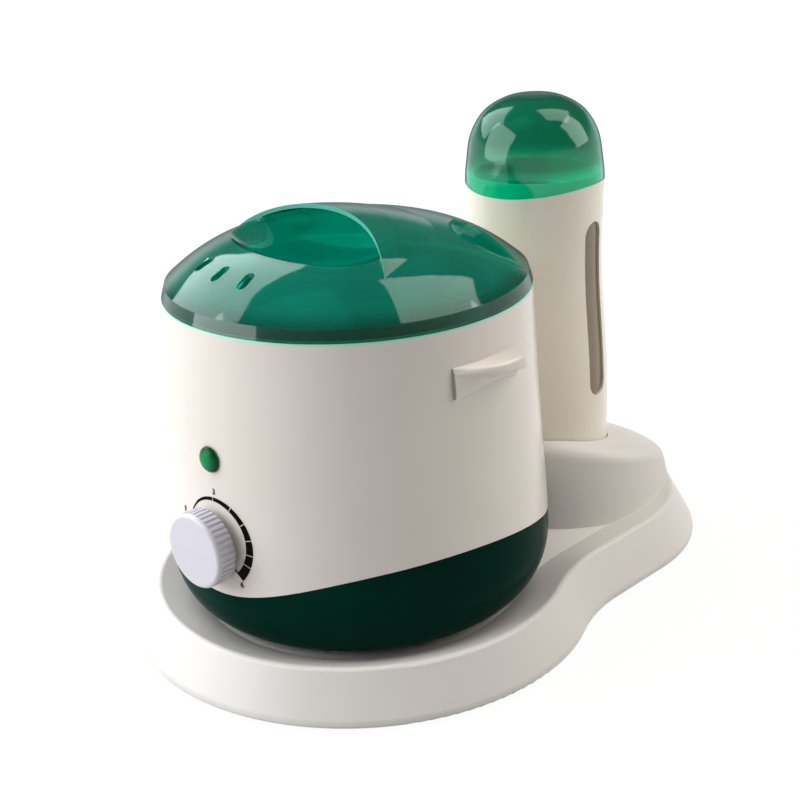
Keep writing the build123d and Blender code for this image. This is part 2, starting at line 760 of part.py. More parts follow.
def dome_solid(inset):
    with BuildPart() as solid:
        with BuildSketch(lid_section):
            with BuildLine():
                points = drawn_in([(crease_radius, crease_z)] + dome, inset)
                crown = Spline(
                    (crease_radius - inset, crease_z - inset / 2), *points[1:], (0, dome_top_z - inset),
                    tangents=[(-1.2, 1), (-1, 0)],
                )
                Polyline(
                    crown @ 0, (pot_rim_radius - inset, pot_rim_z), (0, pot_rim_z), crown @ 1
                )
            make_face()
        revolve(axis=pot_axis)
    return solid.part


def hood_solid(inset):
    # Arches lofted from in front of the lip to the back
    with BuildPart() as solid:
        for y, half_width, peak in hood:
            with BuildSketch(lid_plane(y)):
                with BuildLine():
                    arch = EllipticalCenterArc(
                        (0, crease_z), half_width - inset, peak - inset - crease_z, start_angle=0, arc_size=180
                    )
                    Line(arch @ 1, arch @ 0)
                make_face()
        loft()
    return solid.part


def lip_cylinder(radius):
    with BuildPart() as solid:
        with Locations(lid_place * Location((0, -lip_radius - lip_front, crease_z - 10))):
            post(radius, 60)
    return solid.part


def scoop(grow):
    with BuildPart() as solid:
        Sphere(1)
        scale(by=tuple(size + grow for size in scoop_size))
    return solid.part.moved(lid_place * Location(scoop_centre))


# Lid: the hood's lip overhangs a finger scoop, and the wall is even all through
hood_inside = hood_solid(lid_wall)
with BuildPart() as pocket:
    add(scoop(0))
    add(hood_inside, mode=Mode.INTERSECT)
with BuildPart() as hood_outer:
    add(hood_solid(0))
    add(lip_cylinder(lip_radius), mode=Mode.SUBTRACT)
with BuildPart() as lid_hollow:
    add(hood_inside)
    add(lip_cylinder(lip_radius + lid_wall), mode=Mode.SUBTRACT)
    add(dome_solid(lid_wall))
    add(scoop(lid_wall), mode=Mode.SUBTRACT)
with BuildPart() as lid:
    add(dome_solid(0))
    add(hood_outer.part)
    add(pocket.part, mode=Mode.SUBTRACT)
    add(lid_hollow.part, mode=Mode.SUBTRACT)
    with Locations((0, pot_y, pot_rim_z)):
        post(pot_rim_radius - 0.6, lid_flange)
    with Locations((0, pot_y, pot_rim_z - lid_spigot)):
        post(shelf_outer - spigot_gap, lid_spigot + lid_flange)
        post(shelf_outer - spigot_gap - lid_spigot_width, lid_spigot + lid_flange, mode=Mode.SUBTRACT)
    vents = [lid_place * Location((0, 0, crease_z), (0, 0, turn - 90)) for turn in (-vent_step, 0, vent_step)]
    for vent in vents:
        with BuildSketch(Plane(vent)):
            with Locations((vent_radius, 0)):
                SlotOverall(vent_length, vent_width)
        extrude(amount=40, mode=Mode.SUBTRACT)
lid.part.label = "lid"
export_step(lid.part, "parts/lid.step")


def heater_solid(inset):
    # The heater's outside drawn in by inset
    with BuildPart() as solid:
        with BuildSketch(heater_section):
            with BuildLine():
                side = Spline(
                    (heater_foot_radius - inset, heater_foot_z),
                    *[(r - inset, z) for r, z in heater_side],
                    tangents=[(0, 1), (0.03, 1)],
                )
                Polyline(side @ 1, (0, heater_side[-1][1]), (0, heater_foot_z), side @ 0)
            make_face()
        revolve(axis=heater_axis)
    return solid.part


def cap_solid(inset):
    with BuildPart() as solid:
        with BuildSketch(heater_section):
            with BuildLine():
                points = drawn_in(cap_side, inset)
                side = Spline(*points, (0, cap_top_z - inset), tangents=[(0, 1), (-1, 0)])
                Polyline(side @ 1, (0, points[0][1]), side @ 0)
            make_face()
        revolve(axis=heater_axis)
    return solid.part


def above_saddle(shift):
    # Everything above the line where the cap meets the heater
    half = heater_foot_radius
    with BuildPart() as region:
        with BuildSketch(heater_section):
            with BuildLine():
                saddle = ThreePointArc(
                    (-half, saddle_low + saddle_rise + shift),
                    (0, saddle_low + shift),
                    (half, saddle_low + saddle_rise + shift),
                )
                Polyline(saddle @ 1, (half, cap_top_z + 5), (-half, cap_top_z + 5), saddle @ 0)
            make_face()
        extrude(amount=heater_foot_radius + 2, both=True)
    return region.part


def window_slot(side, grow):
    # The window's opening, from the heater's middle outwards
    with BuildPart() as region:
        with BuildSketch(Plane(heater_place * Plane.YZ.location)):
            with Locations((0, (window_low + window_high) / 2)):
                SlotOverall(window_high - window_low + 2 * grow, window_width + 2 * grow, rotation=90)
        extrude(amount=side * (heater_foot_radius + 5))
    return region.part


# Roll-on heater: shell, collar, windows, liner, heating plate, base cap and contacts
heater_outside = heater_solid(0)
heater_inside = heater_solid(heater_wall)
liner_length = cartridge_length + 2 * liner_wall
liner_width = cartridge_width + 2 * liner_wall
with BuildPart() as heater_shell:
    add(heater_outside)
    add(heater_inside, mode=Mode.SUBTRACT)
    for side in (-1, 1):
        add(window_slot(side, 0), mode=Mode.SUBTRACT)
    with Locations((0, heater_y, deck_z - deck_thickness)):
        post(collar_radius + 1, deck_thickness)
    with BuildSketch(Plane(heater_place * Location((0, 0, deck_z - deck_thickness)))):
        SlotOverall(liner_length + pilot_gap, liner_width + pilot_gap)
    extrude(amount=deck_thickness, mode=Mode.SUBTRACT)
    add(above_saddle(0), mode=Mode.SUBTRACT)
heater_shell.part.label = "heater_shell"
export_step(heater_shell.part, "parts/heater_shell.step")

with BuildPart() as heater_collar:
    with Locations((0, heater_y, deck_z)):
        post(collar_radius, saddle_low + saddle_rise + collar_rise - deck_z)
        post(collar_radius - collar_wall, 20, mode=Mode.SUBTRACT)
heater_collar.part.label = "heater_collar"
export_step(heater_collar.part, "parts/heater_collar.step")

pane_outside = heater_solid(window_inset)
pane_inside = heater_solid(heater_wall + window_thickness)
flange_outside = heater_solid(heater_wall + pilot_gap)
for side, name in ((-1, "heater_window_left"), (1, "heater_window_right")):
    with BuildPart() as rebate_flange:
        add(flange_outside)
        add(window_slot(side, window_rebate), mode=Mode.INTERSECT)
    with BuildPart() as heater_window:
        add(pane_outside)
        add(window_slot(side, -pilot_gap), mode=Mode.INTERSECT)
        add(rebate_flange.part)
        add(pane_inside, mode=Mode.SUBTRACT)
    heater_window.part.label = name
    export_step(heater_window.part, f"parts/{name}.step")

with BuildPart() as heater_liner:
    with BuildSketch(Plane(heater_place * Location((0, 0, deck_z + 1)))):
        SlotOverall(liner_length, liner_width)
    extrude(amount=-liner_depth)
    with BuildSketch(Plane(heater_place * Location((0, 0, deck_z)))):
        SlotOverall(liner_length + 2 * liner_flange, liner_width + 2 * liner_flange)
    extrude(amount=1)
    with BuildSketch(Plane(heater_place * Location((0, 0, deck_z + 1)))):
        SlotOverall(cartridge_length, cartridge_width)
    extrude(amount=liner_wall - liner_depth, mode=Mode.SUBTRACT)
heater_liner.part.label = "heater_liner"
export_step(heater_liner.part, "parts/heater_liner.step")

plate_y = liner_width / 2 + pilot_gap
with BuildPart() as heater_element:
    with Locations(heater_place * Location((0, plate_y + plate_size[1] / 2, 125))):
        Box(*plate_size)
heater_element.part.label = "heater_element"
export_step(heater_element.part, "parts/heater_element.step")

with BuildPart() as heater_limiter:
    with Locations(heater_place * Location((0, plate_y + plate_size[1], 125), (-90, 0, 0))):
        post(limiter_radius, limiter_height)
    with Locations(heater_place * Location((0, plate_y + plate_size[1] + 0.5, 125))):
        Box(24, 1, 8)
heater_limiter.part.label = "heater_limiter"
export_step(heater_limiter.part, "parts/heater_limiter.step")

with BuildPart() as heater_base_cap:
    with Locations((0, heater_y, heater_foot_z)):
        post(heater_foot_radius - heater_wall - pilot_gap, base_cap_height)
    with Locations(*contact_places(heater_foot_z)):
        post(contact_radius + contact_gap, base_cap_height, mode=Mode.SUBTRACT)
heater_base_cap.part.label = "heater_base_cap"
export_step(heater_base_cap.part, "parts/heater_base_cap.step")

with BuildPart() as heater_contacts:
    with Locations(*contact_places(pin_top_z + contact_gap)):
        post(contact_radius + contact_gap - pilot_gap, heater_foot_z + base_cap_height + 2 - pin_top_z)
    with Locations(*contact_places(heater_foot_z + base_cap_height)):
        post(contact_radius + 1.2, 1)
heater_contacts.part.label = "heater_contacts"
export_step(heater_contacts.part, "parts/heater_contacts.step")

with BuildPart() as heater_cap:
    add(cap_solid(0))
    add(cap_solid(cap_wall), mode=Mode.SUBTRACT)
    add(above_saddle(cap_gap), mode=Mode.INTERSECT)
heater_cap.part.label = "heater_cap"
export_step(heater_cap.part, "parts/heater_cap.step")
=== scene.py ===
import bpy, math
from mathutils import Matrix, Vector


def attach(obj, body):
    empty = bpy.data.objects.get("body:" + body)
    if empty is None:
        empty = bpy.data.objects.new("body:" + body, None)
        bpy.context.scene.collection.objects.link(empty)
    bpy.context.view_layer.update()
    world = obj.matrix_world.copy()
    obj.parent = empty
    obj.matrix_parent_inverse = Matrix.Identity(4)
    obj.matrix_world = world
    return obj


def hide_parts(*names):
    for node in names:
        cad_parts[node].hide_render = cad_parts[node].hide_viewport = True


# Wax warmer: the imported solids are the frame. This script gives them their finishes, adds the
# printed dial and puts two modelled side grips in place of the plain ones.

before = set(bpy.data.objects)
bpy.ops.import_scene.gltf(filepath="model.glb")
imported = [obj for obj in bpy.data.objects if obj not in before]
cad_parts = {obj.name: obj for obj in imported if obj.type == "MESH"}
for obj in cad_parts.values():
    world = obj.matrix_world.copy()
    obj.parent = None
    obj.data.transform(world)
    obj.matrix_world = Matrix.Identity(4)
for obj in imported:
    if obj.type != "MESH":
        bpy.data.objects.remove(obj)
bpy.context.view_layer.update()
mm = 0.001
potY = -48 * mm  # the pot's axis
heaterY = 87.2 * mm  # the roll-on heater's axis
print("frame loaded:", len(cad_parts), "nodes")


class Wire:
    # A socket, so that shader maths can be written as plain expressions
    def __init__(self, finish, socket):
        self.finish, self.socket = finish, socket

    def maths(self, operation, first, second):
        return self.finish.node("ShaderNodeMath", {"operation": operation}, {0: first, 1: second})

    def __add__(self, other):
        return self.maths("ADD", self, other)

    def __sub__(self, other):
        return self.maths("SUBTRACT", self, other)

    def __rsub__(self, other):
        return self.maths("SUBTRACT", other, self)

    def __mul__(self, other):
        return self.maths("MULTIPLY", self, other)

    def __gt__(self, other):
        return self.maths("GREATER_THAN", self, other)

    def __lt__(self, other):
        return self.maths("LESS_THAN", self, other)

    __radd__ = __add__
    __rmul__ = __mul__


class Finish:
    # The nodes of one material, or of the world, and the calls that fill them
    def __init__(self, name, owner=None):
        self.owner = owner or bpy.data.materials.new(name)
        self.owner.use_nodes = True
        self.tree = self.owner.node_tree
        self.tree.nodes.clear()

    def node(self, kind, settings=None, inputs=None, output=0):
        made = self.tree.nodes.new(kind)
        for key, value in (settings or {}).items():
            setattr(made, key, value)
        for key, value in (inputs or {}).items():
            socket = made.inputs[key]
            if isinstance(value, Wire):
                self.tree.links.new(value.socket, socket)
            else:
                socket.default_value = (*value, 1) if socket.type == "RGBA" else value
        return Wire(self, made.outputs[output]) if made.outputs else None

    def place(self, stretch=(1, 1, 1), shift=(0, 0, 0)):
        # Object coordinates, moved and then stretched
        spot = self.node("ShaderNodeTexCoord", output="Object")
        moved = self.node("ShaderNodeMapping", {}, {"Vector": spot, "Location": shift})
        return self.node("ShaderNodeMapping", {}, {"Vector": moved, "Scale": stretch})

    def part(self, vector, axis):
        # One coordinate of a vector
        return self.node("ShaderNodeSeparateXYZ", {}, {0: vector}, axis)

    def length(self, vector):
        settings = {"operation": "LENGTH"}
        return self.node("ShaderNodeVectorMath", settings, {0: vector}, "Value")

    def noise(self, size, detail, stretch=(1, 1, 1)):
        # Noise whose lumps are about size metres across
        return self.node("ShaderNodeTexNoise", {}, {
            "Vector": self.place(stretch), "Scale": 1 / size, "Detail": detail,
        })

    def mix(self, share, first, second):
        settings, inputs = {"data_type": "RGBA"}, {"Factor": share, 6: first, 7: second}
        return self.node("ShaderNodeMix", settings, inputs, 2)

    def ramp(self, value, low, high):
        # 0 at low and 1 at high
        return self.node(
            "ShaderNodeMapRange", {"interpolation_type": "SMOOTHSTEP"},
            {"Value": value, "From Min": low, "From Max": high},
        )

    def bump(self, height, strength, distance):
        return self.node(
            "ShaderNodeBump", {}, {"Height": height, "Strength": strength, "Distance": distance}
        )

    def lightPath(self, *rays):
        # 1 for a ray of any of these kinds
        return sum(self.node("ShaderNodeLightPath", output=ray) for ray in rays)

    def surface(self, inputs):
        return self.node("ShaderNodeBsdfPrincipled", {}, inputs)

    def blendShaders(self, share, first, second):
        return self.node("ShaderNodeMixShader", {}, {0: share, 1: first, 2: second})

    def finishWith(self, shader, kind="ShaderNodeOutputMaterial"):
        self.node(kind, {}, {"Surface": shader})
        return self.owner


contrast = (0.35, 0.65)  # the noise values where the first colour ends and the second is full
skinDepth = 0.2 * mm


def mouldedPlastic(name, look):
    # Cloudy colour, faint flow marks, an orange-peel skin and a few smudges
    finish = Finish(name)
    size = look["cloudSize"]
    cloud = finish.noise(size, 4)
    flow = finish.noise(size * 0.6, 3, (1, 1, 0.15))
    peel = finish.noise(look["peelSize"], 2)
    smudge = finish.noise(size * 0.35, 5)
    share = finish.ramp(cloud * 0.6 + flow * 0.4, *contrast)
    shader = finish.surface({
        "Base Color": finish.mix(share, look["colour"], look["second"]),
        "Roughness": look["roughness"] + (smudge - 0.5) * look["smudges"],
        "IOR": look.get("ior", 1.5), "Specular IOR Level": look["shine"],
        "Coat Weight": look["coat"], "Coat Roughness": 0.06,
        "Normal": finish.bump(peel, look["peel"], skinDepth),
    })
    return finish.finishWith(shader)


def lipLine(finish, height, lip):
    # 1 on the upright strip that runs round the lid's lip, at a radius from the lip's middle,
    # which the shift brings to the origin; the lid's painted highlight line goes there
    away = finish.length(finish.place((1, 1, 0), lip["shift"]))
    tilt = finish.part(finish.node("ShaderNodeNewGeometry", output="Normal"), "Z")
    tilt = finish.node("ShaderNodeMath", {"operation": "ABSOLUTE"}, {0: tilt})
    near = (away < lip["radius"] + lip["outside"]) * (away > lip["radius"] - lip["inside"])
    return near * (height > lip["lowZ"]) * (tilt < lip["mostTilt"])


def clearPlastic(name, look):
    # Tinted plastic: partly clear and partly green, with a painted glow and painted shade where it
    # is seen edge on.
    # Its low zone is painted light on the cap and painted shade on the lid; the lid's cut edges,
    # at its foot and round its lip, get a painted highlight
    finish = Finish(name)
    height = finish.part(finish.place(), "Z")
    cloud = finish.noise(0.03, 3)
    wave = finish.noise(0.02, 2)
    # Painted shade where the surface is seen edge on
    facing = finish.node("ShaderNodeLayerWeight", {}, {"Blend": 0.5}, "Facing")
    edgeOn = finish.ramp(facing, look["edgeFrom"], look["edgeTo"])
    # Low zone mask, 1 below the zone's top: the cap gets painted light there, the lid painted
    # shade
    lit = 1 - finish.ramp(height, look["paintedLowTop"], look["paintedLowTop"] + look["paintedLowFade"])
    body = finish.mix(finish.ramp(cloud, *contrast), look["colour"], look["second"])
    body = finish.mix(lit, body, look["glow"])
    clear = finish.surface({
        "Base Color": finish.mix(edgeOn, body, look["edgeShade"]),
        "Roughness": look["roughness"] + wave * 0.02, "IOR": 1.46,
        "Specular IOR Level": look["shine"], "Transmission Weight": look["transmission"],
        # The emission is a painted glow, brighter in the cap's low zone
        "Emission Color": finish.mix(lit, look["inner"], look["paintedLowGlow"]),
        "Emission Strength": 1.0, "Normal": finish.bump(wave, 0.05, 0.5 * mm),
    })
    # A dark surface, painted shade for the edge-on parts
    dark = finish.surface({
        "Base Color": look["edgeShade"], "Roughness": 0.3, "Specular IOR Level": 0.0,
    })
    shader = finish.blendShaders(edgeOn * look["edgeDepth"], clear, dark)
    # The lid's foot and the strip round its lip get a pale painted highlight
    if "lip" in look:
        lip = lipLine(finish, height, look["lip"])
        edgeHighlight = finish.surface({
            "Base Color": finish.mix(lip, look["footHighlight"], look["lip"]["colour"]),
            "Roughness": 0.35, "Specular IOR Level": 0.3,
        })
        shader = finish.blendShaders((height < look["footZ"]) + lip, shader, edgeHighlight)
    lampTint = finish.node("ShaderNodeBsdfTransparent", {}, {"Color": look["lampTint"]})
    shadow = finish.lightPath("Is Shadow Ray")
    return finish.finishWith(finish.blendShaders(shadow, shader, lampTint))


def spunMetal(name, look):
    # Turning marks that run round the upright axis at axisY
    finish = Finish(name)
    radius = finish.length(finish.place((1, 1, 0), (0, -look["axisY"], 0)))
    height = finish.part(finish.place(), "Z")
    rings = finish.node("ShaderNodeTexNoise", {"noise_dimensions": "1D"}, {
        "W": (radius + height) * look["ringsPerMetre"], "Scale": 1.0, "Detail": 3,
    })
    grime = finish.noise(0.02, 4)
    shader = finish.surface({
        "Base Color": finish.mix(rings * 0.5 + grime * 0.3, look["colour"], look["second"]),
        "Metallic": 1.0, "Roughness": look["roughness"] + rings * 0.12,
        "Normal": finish.bump(rings, 0.12, skinDepth),
    })
    return finish.finishWith(shader)


def plainMetal(name, look):
    # Fine drawn grain and larger spots
    finish = Finish(name)
    grain = finish.noise(look["grain"], 3, (1, 1, 0.2))
    spots = finish.noise(look["grain"] * 12, 4)
    shader = finish.surface({
        "Base Color": finish.mix(spots, look["colour"], look["second"]),
        "Metallic": 1.0, "Roughness": look["roughness"] + grain * 0.15,
        "Normal": finish.bump(grain, 0.1, skinDepth),
    })
    return finish.finishWith(shader)


def glowingLens(name, look):
    # A lit indicator: brightest at its middle, with fine rings moulded inside
    finish = Finish(name)
    away = finish.length(finish.place((1, 0, 1), (0, 0, -look["z"])))
    heart = 1 - finish.ramp(away, *look["heart"])
    waves = {0: away * look["ringsPerMetre"]}
    rings = finish.node("ShaderNodeMath", {"operation": "SINE"}, waves)
    shader = finish.surface({
        "Base Color": finish.mix(heart, look["edge"], look["middle"]),
        "Roughness": 0.12, "Specular IOR Level": 0.12,
        "Emission Color": finish.mix(heart, look["rimGlow"], look["glow"]),
        "Emission Strength": look["strength"], "Normal": finish.bump(rings, 0.15, 0.1 * mm),
    })
    return finish.finishWith(shader)


def grainyFinish(name, look):
    # Two close colours in a fine grain, and the constants that the look sets
    finish = Finish(name)
    grain = finish.noise(look["grain"], 3)
    shader = finish.surface({
        "Base Color": finish.mix(grain, look["colour"], look["second"]),
        "Roughness": look["roughness"] + grain * look["spread"], **look["constants"],
    })
    return finish.finishWith(shader)


plasticLooks = {
    "bodyWhite": {
        "colour": (0.79, 0.745, 0.69), "second": (0.765, 0.715, 0.66), "roughness": 0.2,
        "shine": 0.5, "smudges": 0.06, "coat": 0.3,
        "cloudSize": 0.07, "peelSize": 0.0022, "peel": 0.05,
    },
    "heaterWhite": {
        "colour": (0.87, 0.82, 0.715), "second": (0.85, 0.795, 0.69), "roughness": 0.22,
        "shine": 0.5, "smudges": 0.06, "coat": 0.3,
        "cloudSize": 0.06, "peelSize": 0.0022, "peel": 0.05,
    },
    "trayWhite": {
        "colour": (0.765, 0.742, 0.72), "second": (0.745, 0.72, 0.695), "roughness": 0.42,
        "shine": 0.4, "smudges": 0.1, "coat": 0.05,
        "cloudSize": 0.09, "peelSize": 0.0009, "peel": 0.12,
    },
    "knobWhite": {
        "colour": (0.69, 0.675, 0.755), "second": (0.67, 0.65, 0.735), "roughness": 0.35,
        "shine": 0.4, "smudges": 0.08, "coat": 0.1,
        "cloudSize": 0.02, "peelSize": 0.0006, "peel": 0.08,
    },
    "bowlGreen": {
        "colour": (0.0005, 0.030, 0.020), "second": (0.0003, 0.023, 0.015), "roughness": 0.22,
        "shine": 0.15, "ior": 1.12, "smudges": 0.06, "coat": 0.0,
        "cloudSize": 0.05, "peelSize": 0.002, "peel": 0.04,
    },
    "footRubber": {
        "colour": (0.03, 0.03, 0.03), "second": (0.045, 0.044, 0.043), "roughness": 0.8,
        "shine": 0.3, "smudges": 0.15, "coat": 0.0,
        "cloudSize": 0.01, "peelSize": 0.0005, "peel": 0.4,
    },
    "glandRubber": {
        "colour": (0.62, 0.61, 0.58), "second": (0.56, 0.55, 0.53), "roughness": 0.7,
        "shine": 0.3, "smudges": 0.12, "coat": 0.0,
        "cloudSize": 0.01, "peelSize": 0.0006, "peel": 0.3,
    },
    "innerPlastic": {
        "colour": (0.045, 0.045, 0.05), "second": (0.06, 0.06, 0.062), "roughness": 0.55,
        "shine": 0.4, "smudges": 0.1, "coat": 0.0,
        "cloudSize": 0.015, "peelSize": 0.0008, "peel": 0.25,
    },
    "bandMica": {
        "colour": (0.42, 0.36, 0.25), "second": (0.34, 0.28, 0.19), "roughness": 0.5,
        "shine": 0.4, "smudges": 0.2, "coat": 0.0,
        "cloudSize": 0.006, "peelSize": 0.0009, "peel": 0.3,
    },
    # Painted shade for the slit at each grip's front end
    "gripSlitShade": {
        "colour": (0.36, 0.32, 0.28), "second": (0.33, 0.29, 0.25), "roughness": 0.5,
        "shine": 0.1, "smudges": 0.05, "coat": 0.0,
        "cloudSize": 0.02, "peelSize": 0.001, "peel": 0.05,
    },
    # The window pane: its own tint, darkened with painted shade for the hollow behind it
    "windowTintAndShade": {
        "colour": (0.20, 0.15, 0.09), "second": (0.25, 0.195, 0.13), "roughness": 0.16,
        "shine": 0.3, "smudges": 0.06, "coat": 0.1,
        "cloudSize": 0.05, "peelSize": 0.004, "peel": 0.05,
    },
}
clearLooks = {
    "lidGreen": {
        "colour": (0.0, 0.37, 0.275), "second": (0.0, 0.33, 0.24), "roughness": 0.04,
        "shine": 0.4, "transmission": 0.8, "lampTint": (0.02, 0.72, 0.56),
        "edgeFrom": 0.72, "edgeTo": 0.94, "edgeDepth": 0.8, "edgeShade": (0.004, 0.05, 0.038),
        # The lid's low zone colour (glow) is painted shade, darker than its body
        "paintedLowTop": 0.170, "paintedLowFade": 0.009, "glow": (0.0, 0.15, 0.105),
        "inner": (0.0, 0.010, 0.008), "paintedLowGlow": (0.0, 0.0, 0.0),
        "footZ": 0.1667, "footHighlight": (0.30, 0.80, 0.66),
        "lip": {
            "shift": (0.0195, 0.1598, 0), "radius": 0.110, "inside": 0.0003, "outside": 0.0002,
            # The lip line's colour is a painted highlight
            "lowZ": 0.184, "mostTilt": 0.35, "colour": (0.08, 0.42, 0.34),
        },
    },
    "capGreen": {
        "colour": (0.0, 0.34, 0.225), "second": (0.0, 0.30, 0.20), "roughness": 0.07,
        "shine": 0.3, "transmission": 0.92, "lampTint": (0.02, 0.90, 0.72),
        "edgeFrom": 0.70, "edgeTo": 0.94, "edgeDepth": 1.0, "edgeShade": (0.004, 0.05, 0.038),
        # The cap's low zone colour (glow) is painted light, for the lit deck seen through it
        "paintedLowTop": 0.194, "paintedLowFade": 0.007, "glow": (0.0, 0.55, 0.38),
        "inner": (0.0, 0.0, 0.0), "paintedLowGlow": (0.0, 0.03, 0.018),
    },
}
spunLooks = {
    "wellAluminium": {
        "colour": (0.62, 0.62, 0.63), "second": (0.50, 0.50, 0.52), "roughness": 0.3,
        "axisY": potY, "ringsPerMetre": 900,
    },
    "waxPotAluminium": {
        "colour": (0.80, 0.80, 0.81), "second": (0.66, 0.66, 0.68), "roughness": 0.22,
        "axisY": potY, "ringsPerMetre": 1200,
    },
    "linerAluminium": {
        "colour": (0.66, 0.66, 0.67), "second": (0.54, 0.54, 0.56), "roughness": 0.28,
        "axisY": heaterY, "ringsPerMetre": 900,
    },
}
metalLooks = {
    "contactBrass": {
        "colour": (0.72, 0.50, 0.20), "second": (0.60, 0.40, 0.16), "roughness": 0.22,
        "grain": 0.0004,
    },
    "screwSteel": {
        "colour": (0.50, 0.50, 0.52), "second": (0.38, 0.38, 0.40), "roughness": 0.3,
        "grain": 0.0003,
    },
    "thermostatSteel": {
        "colour": (0.56, 0.56, 0.58), "second": (0.44, 0.44, 0.46), "roughness": 0.34,
        "grain": 0.0006,
    },
}
lensLooks = {
    "lensGreen": {
        "z": 0.109, "heart": (0.001, 0.0062), "ringsPerMetre": 5200,
        "edge": (0.0, 0.06, 0.018), "middle": (0.0, 0.18, 0.05),
        "rimGlow": (0, 0.02, 0.004), "glow": (0.0, 0.16, 0.04), "strength": 0.6,
    },
}
grainyLooks = {
    "lampGlass": {
        "colour": (0.9, 0.8, 0.6), "second": (0.8, 0.6, 0.4), "grain": 0.002,
        "roughness": 0.08, "spread": 0.05, "constants": {"Transmission Weight": 0.8},
    },
    "dialInk": {
        "colour": (0.001, 0.001, 0.001), "second": (0.003, 0.003, 0.003), "grain": 0.0008,
        "roughness": 0.5, "spread": 0.1, "constants": {"Specular IOR Level": 0.05},
    },
}
kinds = (
    (mouldedPlastic, plasticLooks), (clearPlastic, clearLooks), (spunMetal, spunLooks),
    (plainMetal, metalLooks), (glowingLens, lensLooks), (grainyFinish, grainyLooks),
)
finishes = {name: make(name, look) for make, looks in kinds for name, look in looks.items()}
print("finishes made:", len(finishes))

nodeFinishes = {
    "bodyWhite": ["pot_shell", "side_grip_left", "side_grip_right"],
    "heaterWhite": ["heater_shell", "heater_collar"],
    "trayWhite": ["base_tray", "base_cover_plate"],
    "knobWhite": ["control_knob"],
    "bowlGreen": ["pot_base"],
    "lidGreen": ["lid"],
    "capGreen": ["heater_cap"],
    "lensGreen": ["indicator_lens"],
    "lampGlass": ["indicator_lamp"],
    "windowTintAndShade": ["heater_window_left", "heater_window_right"],
    "footRubber": ["base_feet", "pot_feet"],
    "glandRubber": ["station_cord_gland", "pot_cord_gland"],
    "innerPlastic": ["dock_contact_block", "terminal_block", "heater_limiter", "heater_base_cap"],
    "bandMica": ["heater_band"],
    "contactBrass": ["dock_contacts", "heater_contacts", "thermal_fuse", "thermostat_nut"],
    "screwSteel": ["base_screws", "pot_base_screws"],
    "thermostatSteel": ["thermostat_body", "thermostat_shaft", "heater_element"],
    "wellAluminium": ["heating_well"],
    "linerAluminium": ["heater_liner"],
    "waxPotAluminium": ["wax_pot"],
}
for finishName, nodes in nodeFinishes.items():
    for node in nodes:
        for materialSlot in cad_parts[node].material_slots:
            materialSlot.material = finishes[finishName]
print("solids finished")


def clearSelection():
    bpy.ops.object.select_all(action="DESELECT")


def only(piece):
    clearSelection()
    piece.select_set(True)
    bpy.context.view_layer.objects.active = piece


def namePiece(name):
    # Names the object that the last operator made
    piece = bpy.context.object
    piece.name = piece.data.name = name
    return piece


def settle(piece):
    # Puts the object's place into its mesh
    only(piece)
    bpy.ops.object.transform_apply(location=True, rotation=True, scale=True)


def editAll(piece, operator, **settings):
    # Runs one mesh operator on the whole piece
    only(piece)
    bpy.ops.object.mode_set(mode="EDIT")
    bpy.ops.mesh.select_all(action="SELECT")
    operator(**settings)
    bpy.ops.object.mode_set(mode="OBJECT")


def deleteFaces(piece, unwanted):
    # Deletes the faces whose middle is unwanted
    only(piece)
    bpy.ops.object.mode_set(mode="EDIT")
    bpy.ops.mesh.select_mode(type="FACE")
    bpy.ops.mesh.select_all(action="DESELECT")
    bpy.ops.object.mode_set(mode="OBJECT")
    for face in piece.data.polygons:
        face.select = unwanted(face.center)
    bpy.ops.object.mode_set(mode="EDIT")
    bpy.ops.mesh.delete(type="FACE")
    bpy.ops.object.mode_set(mode="OBJECT")


def applyModifier(piece, kind, **settings):
    only(piece)
    modifier = piece.modifiers.new(kind.title(), kind)
    for key, value in settings.items():
        setattr(modifier, key, value)
    bpy.ops.object.modifier_apply(modifier=modifier.name)


def layOn(piece, node, lift):
    # Lays a flat piece on a CAD node's surface, lift metres proud of it
    applyModifier(
        piece, "SHRINKWRAP", target=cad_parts[node], wrap_method="PROJECT",
        use_project_y=True, use_project_x=False, use_project_z=False,
        use_positive_direction=True, use_negative_direction=True, offset=lift,
    )


def joinPieces(pieces, name):
    only(pieces[0])
    for piece in pieces:
        piece.select_set(True)
    bpy.ops.object.join()
    return namePiece(name)


def dress(piece, finishName, body):
    piece.data.materials.clear()
    piece.data.materials.append(finishes[finishName])
    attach(piece, body)


# Printed dial round the knob: a black band that grows wider, white ticks across it and plain
# numbers, all drawn flat in front of the shell and then laid on it. Lengths are in millimetres,
# and angles run anticlockwise from the right. One above wrapAngle is taken as negative
dial = {
    "middle": (1.8, 71.2), "forward": -140, "radius": 19.4, "steps": 180, "lift": 0.12,
    "startAngle": 150, "endAngle": -43, "wrapAngle": 153, "thin": 0.7, "thick": 4.4,
    "facing": (math.pi / 2, 0, 0),
    "tickAngles": (94, 62, 36, 14, -6, -22), "tickWidth": 0.35, "tickPast": 0.1, "tickLift": 0.06,
    "endInner": 4.4, "endOuter": 1.6, "endWidth": 0.8, "numberSize": 3.8, "boldness": 0.1,
    "numbers": {"0": (164, 25.6), "3": (91, 22.9), "6": (-49, 22.6)},
}


def dialPoint(angle, radius):
    x, z = dial["middle"]
    return Vector((
        (x + radius * math.cos(math.radians(angle))) * mm, dial["forward"] * mm,
        (z + radius * math.sin(math.radians(angle))) * mm,
    ))


def dialAngle(point):
    middle = dialPoint(0, 0)
    return math.degrees(math.atan2(point.z - middle.z, point.x - middle.x))


def bandHalf(angle):
    share = max(dial["startAngle"] - angle, 0) / (dial["startAngle"] - dial["endAngle"])
    return (dial["thin"] + (dial["thick"] - dial["thin"]) * share) / 2


